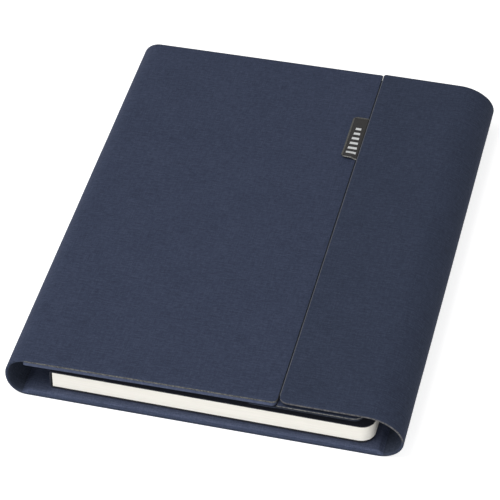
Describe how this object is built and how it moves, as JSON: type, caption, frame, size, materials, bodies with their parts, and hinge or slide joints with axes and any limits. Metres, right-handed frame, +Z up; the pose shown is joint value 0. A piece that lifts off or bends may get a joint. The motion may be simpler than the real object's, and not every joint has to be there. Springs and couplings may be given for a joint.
{
  "type": "padfolio",
  "caption": "Cloth-covered padfolio with a rounded spine, a soft fore edge and a magnetic closing flap, holding a bound notebook and inner pockets.",
  "frame": {"origin": "middle of the closed folder's footprint, on the surface that its back lies on", "axes": "+Y along the spine from the near end to the far end (longest), +X from the spine to the fore edge, +Z up through the thickness (shortest)"},
  "size_m": [0.178, 0.231, 0.0229],
  "materials": {
    "cover_cloth": "navy woven cloth, matt",
    "lining_cloth": "dark navy woven lining, matt",
    "board": "grey bookbinding board",
    "keeper_steel": "thin steel plate",
    "magnet_metal": "nickel-plated magnet",
    "page_paper": "off-white writing paper",
    "notebook_card": "dark soft card cover",
    "elastic_band": "woven elastic",
    "label_rubber": "black soft label"
  },
  "bodies": {
    "cover": {"cover_sheet": "cover_cloth", "fore_edge_gusset": "cover_cloth", "front_lining": "lining_cloth", "front_board": "board", "tongue_sheet": "cover_cloth", "tongue_lining": "lining_cloth", "keeper_plate_near": "keeper_steel", "keeper_plate_far": "keeper_steel", "back_lining": "lining_cloth", "back_board": "board", "notebook_pages": "page_paper", "notebook_cover": "notebook_card", "notebook_pocket": "lining_cloth", "document_pocket": "lining_cloth", "pen_loop": "elastic_band"},
    "flap": {"flap_sheet": "cover_cloth", "flap_lining": "lining_cloth", "flap_magnet_near": "magnet_metal", "flap_magnet_far": "magnet_metal", "label_tab": "label_rubber"}
  },
  "joints": [
    {"name": "flap_turn", "type": "hinge", "parent": "cover", "child": "flap", "pos_m": [0.091, 0, 0.01145], "axis": [0, 1, 0], "range_deg": [0, 180], "deforming": ["fore_edge_gusset"]}
  ]
}
